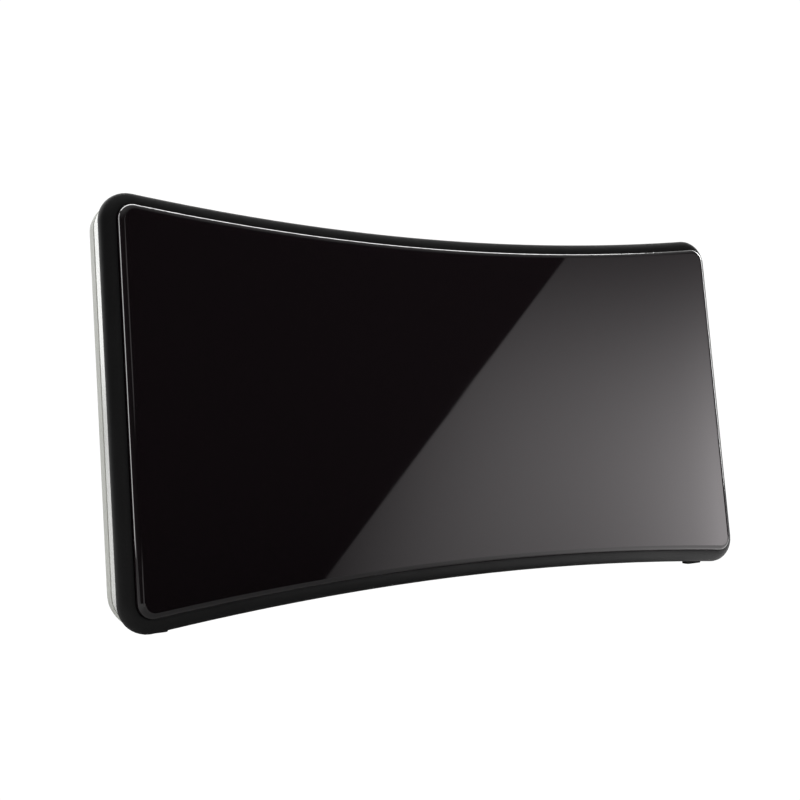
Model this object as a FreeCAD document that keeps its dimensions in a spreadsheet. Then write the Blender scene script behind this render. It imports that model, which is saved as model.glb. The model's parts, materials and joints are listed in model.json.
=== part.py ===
import FreeCAD, Part
import math
import os
import re

import Sketcher
from FreeCAD import Placement, Rotation, Vector

# Indoor television antenna: a bowed panel that leans back on two rubber feet and a plug-in rear leg.
# Panel frame, in millimetres: x to the right, y from the front to the back and z up the panel, with its
# origin at the middle of the front plate's face. Depths are measured from the plate's bowed front face.
# Each sub-part is modelled upright in that frame, and its placement leans it back onto the ground.

SIZES = {
    # Front plate
    "plate_width": 242.3,
    "plate_height": 110.95,
    "plate_corner": 5.0,
    "plate_thick": 3.8,
    "plate_proud": 2.6,
    "plate_round": 1.8,
    "plate_gap": 0.15,
    "edge_arc": 1259.0,
    "bow_radius": 1113.0,
    # Front frame
    "border": 4.49,
    "frame_depth": 7.1,
    "frame_shoulder": 3.8,
    "frame_floor": 1.8,
    "shell_wall": 2.2,
    # Trim band
    "trim_depth": 3.6,
    "lip_reach": 1.2,
    "lip_thick": 1.2,
    "lip_gap": 0.1,
    # Rear cover
    "groove_width": 1.0,
    "groove_inset": 1.1,
    "cover_depth": 7.0,
    "cover_wall": 2.0,
    "cover_round": 4.3,
    # Pod on the rear cover, which holds the board, the sockets and the leg
    "pod_width": 96.0,
    "pod_tall": 46.0,
    "pod_drop": 8.0,
    "pod_depth": 16.3,
    "pod_wall": 2.2,
    "pod_round": 3.0,
    "pod_slope_tall": 16.0,
    "pod_slope_deep": 14.0,
    # Screws that close the housing, and their bosses
    "boss_end": 19.15,
    "boss_edge": 9.65,
    "middle_edge": 8.65,
    "boss_radius": 3.6,
    "tower_radius": 4.4,
    "boss_split": 11.0,
    "seat_depth": 4.2,
    "housing_head_radius": 2.8,
    "housing_head_tall": 2.1,
    "housing_shank_radius": 1.45,
    "housing_shank_long": 8.6,
    "head_gap": 0.35,
    "thread_gap": 0.05,
    "shank_gap": 0.25,
    # Shape of a screw head, as parts of its radius, and of its height for the depth of the cross
    "head_crown": 0.6,
    "cross_long": 0.55,
    "cross_half": 0.13,
    "cross_deep": 0.55,
    # Feet
    "foot_end": 5.85,
    "foot_long": 8.4,
    "foot_deep": 3.0,
    "foot_inset": 0.7,
    "foot_height": 0.4,
    "foot_corner": 1.2,
    "stem_radius": 1.5,
    "stem_gap": 0.1,
    "bulb_radius": 1.8,
    "bulb_tall": 1.4,
    "bulb_gap": 0.3,
    # Stand leg and its pad
    "lean_angle": 8.0,
    "leg_thick": 4.0,
    "leg_gap": 0.1,
    "leg_angle": 40.0,
    "leg_bend": 40.0,
    "leg_neck": 3.0,
    "leg_round": 1.2,
    "slot_wall": 1.6,
    "tongue_long": 16.0,
    "tongue_width": 24.0,
    "neck_width": 30.0,
    "toe_width": 72.0,
    "toe_flat": 6.0,
    "pad_thick": 2.0,
    "pad_inset": 2.0,
    # Dipole elements and their pillars
    "element_depth": 8.0,
    "element_thick": 0.6,
    "element_near": 12.0,
    "element_end": 27.15,
    "element_feed": 10.0,
    "element_edge": 18.65,
    "element_taper": 44.0,
    "pillar_near_x": 38.0,
    "pillar_end": 8.0,
    "pillar_radius": 3.0,
    "element_head_radius": 2.2,
    "element_head_tall": 1.6,
    "element_shank_radius": 1.0,
    "element_shank_long": 2.6,
    "window_near": 50.0,
    "window_end": 16.0,
    "window_low": 15.0,
    "window_edge": 7.5,
    # Amplifier board, shield can and straps
    "board_room": 4.0,
    "board_under": 4.0,
    "board_over": 12.0,
    "board_front": 15.4,
    "board_thick": 1.6,
    "board_post_end": 2.5,
    "board_post_under": 4.0,
    "board_post_over": 7.5,
    "board_post_radius": 2.5,
    "board_head_radius": 2.2,
    "board_head_tall": 1.6,
    "board_shank_radius": 1.1,
    "board_shank_long": 7.0,
    "can_width": 34.0,
    "can_low": 2.0,
    "can_tall": 22.0,
    "can_deep": 5.5,
    "can_wall": 0.5,
    "strap_x": 18.0,
    "strap_z": 12.0,
    "strap_width": 4.0,
    "strap_thick": 0.4,
    "strap_tab": 4.0,
    "strap_gap": 0.05,
    # Aerial socket
    "socket_end": 16.0,
    "socket_room": 7.2,
    "coax_radius": 4.76,
    "coax_free": 9.6,
    "coax_neck": 4.5,
    "coax_relief": 0.6,
    "coax_bore": 3.4,
    "coax_flange_radius": 6.2,
    "coax_flange_tall": 2.4,
    "coax_gap": 0.15,
    "nut_flats": 11.0,
    "nut_tall": 2.5,
    "washer_radius": 6.4,
    "washer_thick": 0.8,
    "insulator_tall": 4.0,
    "insulator_set": 0.6,
    "contact_radius": 1.2,
    "contact_hole": 0.6,
    "contact_long": 14.0,
    # Power inlet
    "jack_width": 9.0,
    "jack_tall": 14.0,
    "jack_rear": 4.5,
    "jack_nose": 4.1,
    "jack_bore": 3.2,
    "jack_bore_deep": 10.0,
    "power_pin_radius": 1.05,
    "power_pin_set": 1.0,
    "power_pin_root": 2.0,
    "power_pin_collar": 1.5,
    "power_pin_collar_tall": 0.5,
    "fit_gap": 0.02,
}
ORIGIN_CELL = "origin_shift"
NAME = re.compile(r"[a-z_]+")
NAMES = {*SIZES, ORIGIN_CELL}
ACROSS = Vector(1, 0, 0)
BACKWARD = Vector(0, 1, 0)
UPWARD = Vector(0, 0, 1)
TO_BACK = Rotation(ACROSS, -90)
TO_FRONT = Rotation(ACROSS, 90)
TOUCH = 0.02
STEEP = 0.3

doc = FreeCAD.newDocument("tv_antenna")
dims = doc.addObject("Spreadsheet::Sheet", "dims")
for row, (size_name, size) in enumerate({**SIZES, ORIGIN_CELL: 0.0}.items(), start=1):
    dims.set(f"A{row}", size_name)
    dims.set(f"B{row}", str(size))
    dims.setAlias(f"B{row}", size_name)
doc.recompute()
parts = []


# Expressions on the sheet's sizes

def bound(text):
    """The expression with each size's name turned into its cell."""
    return NAME.sub(lambda m: f"dims.{m.group(0)}" if m.group(0) in NAMES else m.group(0), text)


def value(text):
    """The expression's present value in millimetres or degrees."""
    return float(dims.evalExpression(bound(text)))


def bind(item, sizes):
    """Ties properties of an object to expressions on the sheet."""
    for path, text in sizes.items():
        item.setExpression(path, bound(text))


def bow_at(x):
    """How far the bowed shell comes forward at x."""
    return f"(bow_radius - sqrt(bow_radius^2 - ({x})^2))"


def surface_at(depth, x):
    """Place y at x of the bowed surface at a depth."""
    return f"(sqrt((bow_radius + {depth})^2 - ({x})^2) - bow_radius)"


def edge_at(grow, x):
    """Half the height at x of the plate's outline grown by a margin."""
    return f"(plate_height / 2 + edge_arc - sqrt((edge_arc - ({grow}))^2 - ({x})^2))"


FLOOR_BACK = "(plate_thick + frame_floor)"
TRIM_BACK = "(frame_depth + trim_depth)"
COVER_FRONT = f"({TRIM_BACK} + groove_width)"
COVER_BACK = f"({COVER_FRONT} + cover_depth)"
SHELL_INSIDE = "(border - shell_wall)"
POD_BACK = f"({COVER_BACK} + pod_depth)"
POD_INSIDE = f"({POD_BACK} - pod_wall)"
POD_TOP = "(pod_tall - pod_drop)"
REACH = f"({POD_BACK} + pod_depth)"
BOARD_BACK = "(board_front + board_thick)"
SOCKET_Y = f"({POD_INSIDE} - socket_room)"
SLOT_Y = f"({POD_INSIDE} - slot_wall - leg_gap - leg_thick / 2)"
BOSS_X = "(plate_width / 2 - boss_end)"
BOSS_Z = "(plate_height / 2 - boss_edge)"
MIDDLE_Z = "(plate_height / 2 - middle_edge)"
ELEMENT_FAR = "(plate_width / 2 - element_end)"
ELEMENT_TALL = "(plate_height / 2 - element_edge)"
PILLAR_FAR = f"({ELEMENT_FAR} - pillar_end)"
BOARD_HALF = "(pod_width / 2 - board_room)"
BOARD_LOW = "(board_under - pod_drop)"
BOARD_TOP = f"({POD_TOP} - board_over)"
SOCKET_X = "(pod_width / 2 - socket_end)"
FOOT_X = "(plate_width / 2 - foot_end)"
FOOT_Y = f"({COVER_FRONT} + foot_inset + foot_deep / 2 - {bow_at(FOOT_X)})"
FOOT_RIM = edge_at("border", FOOT_X)
LIFT = f"(({FOOT_RIM} + foot_height) * cos(lean_angle) + {FOOT_Y} * sin(lean_angle))"


def ground_at(y, above="0"):
    """Panel height of the plane that lies a distance above the ground, at a place y."""
    return f"(({y}) * tan(lean_angle) - ({LIFT} - ({above})) / cos(lean_angle))"


# Sketches

def flat_sketch(name, turn=None):
    """A sketch of its own in the panel's xy plane, or in the plane that a turn takes it to."""
    sketch = doc.addObject("Sketcher::SketchObject", name)
    sketch.Placement = Placement(Vector(), turn or Rotation())
    return sketch


def body_sketch(body, name, role, level="0"):
    """A sketch on one of its body's origin planes, a distance along the plane's normal."""
    sketch = body.newObject("Sketcher::SketchObject", name)
    plane = next(item for item in body.Origin.OriginFeatures if item.Role == role)
    sketch.AttachmentSupport = [(plane, "")]
    sketch.MapMode = "FlatFace"
    bind(sketch, {"AttachmentOffset.Base.z": level})
    return sketch


def drive(sketch, kind, *where, by):
    """Adds a dimension to a sketch and ties it to an expression."""
    index = sketch.addConstraint(Sketcher.Constraint(kind, *where, value(by)))
    sketch.setExpression(f"Constraints[{index}]", bound(by))


def join(sketch, kind, *where):
    """Adds a constraint without a size."""
    sketch.addConstraint(Sketcher.Constraint(kind, *where))


def polygon(sketch, corners):
    """A closed outline of straight edges, with each corner tied to its two expressions."""
    places = [Vector(value(x), value(y), 0) for x, y in corners]
    first = sketch.GeometryCount
    count = len(places)
    for start, end in zip(places, places[1:] + places[:1]):
        sketch.addGeometry(Part.LineSegment(start, end), False)
    for step in range(count):
        join(sketch, "Coincident", first + step, 2, first + (step + 1) % count, 1)
    for step, (x, y) in enumerate(corners):
        drive(sketch, "DistanceX", -1, 1, first + step, 1, by=x)
        drive(sketch, "DistanceY", -1, 1, first + step, 1, by=y)


def circle(sketch, x, y, radius):
    """A circle tied to expressions for its centre and radius."""
    round_edge = Part.Circle(Vector(value(x), value(y), 0), UPWARD, value(radius))
    index = sketch.addGeometry(round_edge, False)
    drive(sketch, "DistanceX", -1, 1, index, 3, by=x)
    drive(sketch, "DistanceY", -1, 1, index, 3, by=y)
    drive(sketch, "Radius", index, by=radius)


def arc(sketch, x, y, radius, start, end):
    """An arc, in radians, in the sketch's plane."""
    whole = Part.Circle(Vector(x, y, 0), UPWARD, radius)
    return sketch.addGeometry(Part.ArcOfCircle(whole, start, end), False)


def outline(name, grow):
    """The panel's front outline, grown by a margin: concave long edges, straight ends and round corners."""
    sketch = flat_sketch(name, TO_FRONT)
    half, long_arc = f"plate_width / 2 + ({grow})", f"edge_arc - ({grow})"
    centre, corner = "plate_height / 2 + edge_arc", f"plate_corner + ({grow})"
    w, ra, c, rc = value(half), value(long_arc), value(centre), value(corner)
    inner = w - rc
    rise = c - math.sqrt((ra + rc) ** 2 - inner**2)
    tilt = math.atan2(c - rise, inner)
    turn = math.pi
    top = arc(sketch, 0, c, ra, tilt - turn, -tilt)
    high_right = arc(sketch, inner, rise, rc, 0, turn - tilt)
    right = sketch.addGeometry(Part.LineSegment(Vector(w, -rise, 0), Vector(w, rise, 0)), False)
    low_right = arc(sketch, inner, -rise, rc, tilt - turn, 0)
    bottom = arc(sketch, 0, -c, ra, tilt, turn - tilt)
    low_left = arc(sketch, -inner, -rise, rc, turn, 2 * turn - tilt)
    left = sketch.addGeometry(Part.LineSegment(Vector(-w, rise, 0), Vector(-w, -rise, 0)), False)
    high_left = arc(sketch, -inner, rise, rc, tilt, turn)
    for one, its_end, other, other_end in (
        (top, 2, high_right, 2),
        (high_right, 1, right, 2),
        (right, 1, low_right, 2),
        (low_right, 1, bottom, 1),
        (bottom, 2, low_left, 2),
        (low_left, 1, left, 2),
        (left, 1, high_left, 2),
        (high_left, 1, top, 1),
    ):
        join(sketch, "Tangent", one, its_end, other, other_end)
    for long_edge in (top, bottom):
        join(sketch, "PointOnObject", long_edge, 3, -2)
    for end in (right, left):
        join(sketch, "Vertical", end)
    join(sketch, "Equal", top, bottom)
    for other in (low_right, low_left, high_left):
        join(sketch, "Equal", high_right, other)
    drive(sketch, "Radius", top, by=long_arc)
    drive(sketch, "Radius", high_right, by=corner)
    drive(sketch, "DistanceY", -1, 1, top, 3, by=centre)
    drive(sketch, "DistanceY", bottom, 3, -1, 1, by=centre)
    drive(sketch, "DistanceX", -1, 1, right, 1, by=half)
    drive(sketch, "DistanceX", left, 1, -1, 1, by=half)
    return sketch


def bow_strip(name, near, far):
    """Plan of a layer of the bowed shell, between two depths."""
    sketch = flat_sketch(name)
    span = "plate_width / 2 + 4 * border"
    reach, radius = value(span), value("bow_radius")
    layers = []
    for depth in (near, far):
        r = radius + value(depth)
        swing = math.acos(reach / r)
        edge = arc(sketch, 0, -radius, r, swing, math.pi - swing)
        layers.append((edge, math.sqrt(r**2 - reach**2) - radius))
    (front, y_front), (back, y_back) = layers
    right = sketch.addGeometry(Part.LineSegment(Vector(reach, y_front, 0), Vector(reach, y_back, 0)), False)
    left = sketch.addGeometry(Part.LineSegment(Vector(-reach, y_front, 0), Vector(-reach, y_back, 0)), False)
    for end, place in ((right, 1), (left, 2)):
        join(sketch, "Coincident", front, place, end, 1)
        join(sketch, "Coincident", back, place, end, 2)
        join(sketch, "Vertical", end)
    join(sketch, "Coincident", front, 3, back, 3)
    join(sketch, "PointOnObject", front, 3, -2)
    drive(sketch, "DistanceY", front, 3, -1, 1, by="bow_radius")
    drive(sketch, "Radius", front, by=f"bow_radius + ({near})")
    drive(sketch, "Radius", back, by=f"bow_radius + ({far})")
    drive(sketch, "DistanceX", -1, 1, right, 1, by=span)
    drive(sketch, "DistanceX", left, 1, -1, 1, by=span)
    return sketch


# Solids and booleans

def prism(name, sketch, direction, forward, backward="0"):
    """A sketch drawn out along a direction, both ways."""
    solid = doc.addObject("Part::Extrusion", name)
    solid.Base = sketch
    solid.DirMode = "Custom"
    solid.Dir = direction
    solid.Solid = True
    bind(solid, {"LengthFwd": forward, "LengthRev": backward})
    return solid


def common(name, base, tool):
    """What two solids share."""
    result = doc.addObject("Part::Common", name)
    result.Base = base
    result.Tool = tool
    return result


def cut(name, base, tool):
    """A solid less another."""
    result = doc.addObject("Part::Cut", name)
    result.Base = base
    result.Tool = tool
    return result


def fuse(name, shapes):
    """Several solids as one."""
    result = doc.addObject("Part::MultiFuse", name)
    result.Shapes = shapes
    return result


def bow_layer(name, near, far):
    """A bowed layer of the whole panel's height, between two depths."""
    plan = bow_strip(f"{name}_plan", near, far)
    return prism(f"{name}_layer", plan, UPWARD, "plate_height", "plate_height")


def outline_prism(name, grow):
    """The grown outline drawn out from front to back."""
    return prism(f"{name}_prism", outline(f"{name}_outline", grow), BACKWARD, REACH, REACH)


def slab(name, grow, near, far):
    """The panel's outline, grown by a margin, as a bowed slab between two depths."""
    return common(f"{name}_slab", outline_prism(name, grow), bow_layer(name, near, far))


def peg(name, radius, x, z, y_from, y_to):
    """A round peg along y."""
    solid = doc.addObject("Part::Cylinder", name)
    solid.Placement = Placement(Vector(), TO_BACK)
    bind(solid, {
        "Radius": radius,
        "Height": f"({y_to}) - ({y_from})",
        "Placement.Base.x": x,
        "Placement.Base.y": y_from,
        "Placement.Base.z": z,
    })
    return solid


def post(name, radius, x, y, z_from, z_to):
    """A round post along z."""
    solid = doc.addObject("Part::Cylinder", name)
    bind(solid, {
        "Radius": radius,
        "Height": f"({z_to}) - ({z_from})",
        "Placement.Base.x": x,
        "Placement.Base.y": y,
        "Placement.Base.z": z_from,
    })
    return solid


def block(name, x_span, y_span, z_span):
    """A box between three pairs of expressions."""
    solid = doc.addObject("Part::Box", name)
    for axis, side, (low, high) in zip("xyz", ("Length", "Width", "Height"), (x_span, y_span, z_span)):
        bind(solid, {side: f"({high}) - ({low})", f"Placement.Base.{axis}": low})
    return solid


def rounded(name, base, radius, wanted):
    """A solid with the edges that a test picks rounded."""
    doc.recompute()
    result = doc.addObject("Part::Fillet", name)
    result.Base = base
    size = value(radius)
    edges = enumerate(base.Shape.Edges, start=1)
    result.Edges = [(index, size, size) for index, edge in edges if wanted(edge)]
    return result


def every_point(test):
    """A test of edges that holds when it holds at points all along the edge."""
    return lambda edge: all(test(point) for point in edge.discretize(5))


def direction(edge):
    """Unit vector between the ends of an edge."""
    first, last = edge.Vertexes[0].Point, edge.Vertexes[-1].Point
    return (last - first).normalize()


def on_bow(depth):
    """A test of points: on the bowed surface at a depth."""
    radius = value("bow_radius")
    target = radius + value(depth)
    return lambda p: abs(math.hypot(p.x, p.y + radius) - target) < TOUCH


# Bodies of features

def new_body(name):
    return doc.addObject("PartDesign::Body", name)


def pad(body, sketch, length, symmetric=False, backward=False):
    """Draws a body's sketch out into a solid."""
    feature = body.newObject("PartDesign::Pad", f"{sketch.Name}_pad")
    feature.Profile = sketch
    feature.SideType = "Symmetric" if symmetric else "One side"
    feature.Reversed = backward
    bind(feature, {"Length": length})
    return feature


def pocket(body, sketch, depth, symmetric=False):
    """Cuts a body's sketch into its solid, against the sketch's normal or both ways."""
    feature = body.newObject("PartDesign::Pocket", f"{sketch.Name}_pocket")
    feature.Profile = sketch
    feature.SideType = "Symmetric" if symmetric else "One side"
    bind(feature, {"Length": depth})
    return feature


def revolve(body, sketch):
    """Turns a body's half section about the sketch's upright axis."""
    feature = body.newObject("PartDesign::Revolution", f"{sketch.Name}_turned")
    feature.Profile = sketch
    feature.ReferenceAxis = (sketch, ["V_Axis"])
    feature.Angle = 360
    return feature


def soften(body, name, radius, wanted):
    """Rounds the edges of a body's last feature that a test picks."""
    doc.recompute()
    base = body.Tip
    feature = body.newObject("PartDesign::Fillet", name)
    chosen = [f"Edge{index}" for index, edge in enumerate(base.Shape.Edges, start=1) if wanted(edge)]
    feature.Base = (base, chosen)
    bind(feature, {"Radius": radius})
    return feature


def turned(name, profile):
    """A turned piece from its half section, given as radius and height."""
    body = new_body(name)
    section = body_sketch(body, f"{name}_section", "XZ_Plane")
    polygon(section, profile)
    revolve(body, section)
    return body


def finish(item, label, x="0", y="0"):
    """Names a sub-part, leans it back about the panel's origin and sets it on the ground."""
    item.Label = label
    item.Placement = Placement(Vector(), Rotation(-ACROSS, value("lean_angle")))
    bind(item, {
        "Placement.Rotation.Angle": "lean_angle * 1 deg",
        "Placement.Base.x": x,
        "Placement.Base.y": f"({y}) * cos(lean_angle) + {ORIGIN_CELL}",
        "Placement.Base.z": f"{LIFT} - ({y}) * sin(lean_angle)",
    })
    parts.append(item)
    return item


def mirrored(item, label):
    """The same sub-part on the panel's other side."""
    result = doc.addObject("Part::Mirroring", label)
    result.Source = item
    result.Normal = ACROSS
    result.Label = label
    parts.append(result)
    return result


# Where screws go, as x, z

CORNER_PLACES = [(f"{a} * {BOSS_X}", f"{b} * {BOSS_Z}") for a in (1, -1) for b in (1, -1)]
MIDDLE_PLACES = [("0", f"{b} * {MIDDLE_Z}") for b in (1, -1)]
HOUSING_PLACES = CORNER_PLACES + MIDDLE_PLACES
PILLAR_PLACES = [(f"{a} * {x}", "0") for a in (1, -1) for x in ("pillar_near_x", PILLAR_FAR)]
BOARD_PLACES = [
    (f"{a} * ({BOARD_HALF} - board_post_end)", z)
    for a in (1, -1)
    for z in (f"({BOARD_LOW} + board_post_under)", f"({BOARD_TOP} - board_post_over)")
]


# Housing

def build_front_plate():
    """Gloss plate: a bowed slab whose front rim is rounded over."""
    plate = slab("plate", "0", "0", "plate_thick")
    finish(rounded("front_plate", plate, "plate_round", every_point(on_bow("0"))), "front_plate")


def build_front_frame():
    """Frame with a tray for the plate, a skirt, screw bosses and the elements' pillars."""
    outer = rounded(
        "frame_outer",
        slab("frame", "border", "plate_proud", "frame_depth"),
        "frame_shoulder",
        every_point(on_bow("plate_proud")),
    )
    tray = slab("frame_tray", "plate_gap", "0", "plate_thick")
    hollow = slab("frame_hollow", SHELL_INSIDE, FLOOR_BACK, TRIM_BACK)
    shell = cut("frame_shell", outer, fuse("frame_spaces", [tray, hollow]))
    root = "plate_thick + frame_floor / 2"
    stands, holes = [], []
    for step, (x, z) in enumerate(HOUSING_PLACES):
        bow = bow_at(x)
        end = f"boss_split - {bow}"
        stands.append(peg(f"frame_boss_{step}", "boss_radius", x, z, f"{root} - {bow}", end))
        bore = "housing_shank_radius + thread_gap"
        start = f"{end} - boss_split + {COVER_BACK} - seat_depth - housing_shank_long - shank_gap"
        holes.append(peg(f"frame_bore_{step}", bore, x, z, start, end))
    for step, (x, z) in enumerate(PILLAR_PLACES):
        seat = surface_at("element_depth", f"abs({x}) + pillar_radius")
        stands.append(peg(f"frame_pillar_{step}", "pillar_radius", x, z, f"{root} - {bow_at(x)}", seat))
        bore = "element_shank_radius + thread_gap"
        start = f"{seat} + element_thick - element_shank_long - shank_gap"
        holes.append(peg(f"pillar_bore_{step}", bore, x, z, start, seat))
    solid = fuse("frame_solid", [shell, *stands])
    finish(cut("front_frame", solid, fuse("frame_bores", holes)), "front_frame")


def build_trim_band():
    """Band between frame and cover, with a lip on each side that centres it in both."""
    inside = f"{SHELL_INSIDE} - lip_thick"
    band = slab("trim", "border", "frame_depth", TRIM_BACK)
    lip = slab("trim_lip", f"{SHELL_INSIDE} - lip_gap", "frame_depth - lip_reach", f"{TRIM_BACK} + lip_reach")
    hole = slab("trim_hole", inside, "0", COVER_BACK)
    finish(cut("trim_band", fuse("trim_solid", [band, lip]), hole), "trim_band")


def pod_profile(wall, start):
    """Side view of the pod, or of its inside when it has a wall, from a place y at its root."""
    slope = "sqrt(pod_slope_tall^2 + pod_slope_deep^2)"
    low, back, top = f"{wall} - pod_drop", f"{POD_BACK} - {wall}", f"{POD_TOP} - {wall}"
    knee = f"{POD_TOP} - pod_slope_tall - {wall} * ({slope} - pod_slope_tall) / pod_slope_deep"
    brow = f"{POD_BACK} - pod_slope_deep - {wall} * ({slope} - pod_slope_deep) / pod_slope_tall"
    return [(start, low), (back, low), (back, knee), (brow, top), (start, top)]


def build_pod():
    """Outside of the pod, rounded, and the space inside it."""
    body = new_body("pod_outer")
    side = body_sketch(body, "pod_side", "YZ_Plane")
    root = f"{COVER_BACK} - cover_wall / 2 - {bow_at('pod_width / 2')} / 2"
    polygon(side, pod_profile("0", root))
    pad(body, side, "pod_width", symmetric=True)
    start = value(root)
    soften(body, "pod_edges", "pod_round", lambda edge: max(p.y for p in edge.discretize(3)) > start + TOUCH)
    inside = flat_sketch("pod_inside", Rotation(Vector(1, 1, 1), 120))
    polygon(inside, pod_profile("pod_wall", f"{COVER_BACK} - 2 * cover_wall"))
    half = "pod_width / 2 - pod_wall"
    return body, prism("pod_space", inside, ACROSS, half, half)


def build_rear_cover():
    """Rear shell with its pod, screw towers, board posts, leg slot and socket holes."""
    outer = rounded(
        "cover_outer",
        slab("cover", "border", COVER_FRONT, COVER_BACK),
        "cover_round",
        every_point(on_bow(COVER_BACK)),
    )
    step_ring = slab("cover_step", "border - groove_inset", TRIM_BACK, f"{COVER_FRONT} + cover_wall / 2")
    pod, pod_space = build_pod()
    inside = slab("cover_inside", SHELL_INSIDE, "frame_depth", f"{COVER_BACK} - cover_wall")
    skin = fuse("cover_skin", [outer, step_ring, pod])
    shell = cut("cover_shell", skin, fuse("cover_room", [inside, pod_space]))
    solids, holes = [shell], []
    for step, (x, z) in enumerate(HOUSING_PLACES):
        bow = bow_at(x)
        front, back = f"boss_split - {bow}", f"{COVER_BACK} - {bow}"
        solids.append(peg(f"tower_{step}", "tower_radius", x, z, front, f"{back} - cover_wall / 2"))
        seat = f"{back} - seat_depth"
        bore, head = "housing_shank_radius + shank_gap", "housing_head_radius + head_gap"
        holes.append(peg(f"tower_bore_{step}", bore, x, z, front, seat))
        holes.append(peg(f"tower_seat_{step}", head, x, z, seat, f"{back} + cover_wall"))
    for step, (x, z) in enumerate(BOARD_PLACES):
        root = f"{POD_INSIDE} + pod_wall / 2"
        solids.append(peg(f"board_post_{step}", "board_post_radius", x, z, BOARD_BACK, root))
        deep = "board_shank_long - board_thick + shank_gap"
        bore = "board_shank_radius + thread_gap"
        holes.append(peg(f"board_bore_{step}", bore, x, z, BOARD_BACK, f"{BOARD_BACK} + {deep}"))
    slot_x, slot_y = "(tongue_width / 2 + leg_gap)", "(leg_thick / 2 + leg_gap)"
    slot_top = "(tongue_long - pod_drop + leg_gap)"
    solids.append(block(
        "slot_walls",
        (f"-{slot_x} - slot_wall", f"{slot_x} + slot_wall"),
        (f"{SLOT_Y} - {slot_y} - slot_wall", f"{POD_INSIDE} + pod_wall / 2"),
        ("pod_wall / 2 - pod_drop", f"{slot_top} + slot_wall"),
    ))
    holes.append(block(
        "slot_hole",
        (f"-{slot_x}", slot_x),
        (f"{SLOT_Y} - {slot_y}", f"{SLOT_Y} + {slot_y}"),
        ("-pod_drop - pod_wall", slot_top),
    ))
    low, high = "-pod_drop - pod_wall", "2 * pod_wall - pod_drop"
    holes.append(post("coax_hole", "coax_radius + coax_gap", SOCKET_X, SOCKET_Y, low, high))
    holes.append(post("jack_hole", "jack_nose + coax_gap", f"-{SOCKET_X}", SOCKET_Y, low, high))
    stem = "stem_radius + stem_gap"
    low, high = f"-{FOOT_RIM} - shell_wall", f"-{FOOT_RIM} + 2 * shell_wall"
    for side, x in (("right", FOOT_X), ("left", f"-{FOOT_X}")):
        holes.append(post(f"stem_hole_{side}", stem, x, FOOT_Y, low, high))
    finish(cut("rear_cover", fuse("cover_solid", solids), fuse("cover_holes", holes)), "rear_cover")


def build_feet():
    """Push-in rubber feet, level with the ground, whose stems lock inside the cover's rim."""
    side = flat_sketch("foot_side", Rotation(Vector(1, 1, 1), 120))
    near, far = f"{FOOT_Y} - foot_deep / 2", f"{FOOT_Y} + foot_deep / 2"
    inner = f"-{FOOT_RIM} + shell_wall / 2"
    polygon(side, [(near, ground_at(near)), (far, ground_at(far)), (far, inner), (near, inner)])
    bar = prism("foot_bar", side, ACROSS, f"{FOOT_X} + foot_long / 2", f"foot_long / 2 - {FOOT_X}")
    upright = every_point(lambda p: p.z < value(inner) + TOUCH)
    pillar_edges = rounded(
        "foot_block", bar, "foot_corner",
        lambda edge: upright(edge) and abs(direction(edge).z) > 1 - TOUCH,
    )
    sole = cut("foot_sole", pillar_edges, outline_prism("foot_rim", "border"))
    lock = f"-{FOOT_RIM} + shell_wall + bulb_gap"
    stem = post("foot_stem", "stem_radius", FOOT_X, FOOT_Y, f"-{FOOT_RIM} - foot_height / 4", lock)
    bulb = post("foot_bulb", "bulb_radius", FOOT_X, FOOT_Y, lock, f"{lock} + bulb_tall")
    right = finish(fuse("foot_right", [sole, stem, bulb]), "foot_right")
    mirrored(right, "foot_left")


# Stand

BEND_Z = "(-pod_drop - leg_neck - (leg_bend + leg_thick / 2) * tan(leg_angle / 2))"


def leg_side(side):
    """Corner of the leg's bend, and its end above the pad, on the front (-1) or rear (1) face."""
    y = f"({SLOT_Y} + {side} * leg_thick / 2)"
    z = f"({BEND_Z} + {side} * leg_thick / 2 * tan(leg_angle / 2))"
    run = (
        f"(({z} - {ground_at(y, 'pad_thick')})"
        " / (cos(leg_angle) + sin(leg_angle) * tan(lean_angle)))"
    )
    return (y, z), (f"({y} + {run} * sin(leg_angle))", f"({z} - {run} * cos(leg_angle))")


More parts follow.
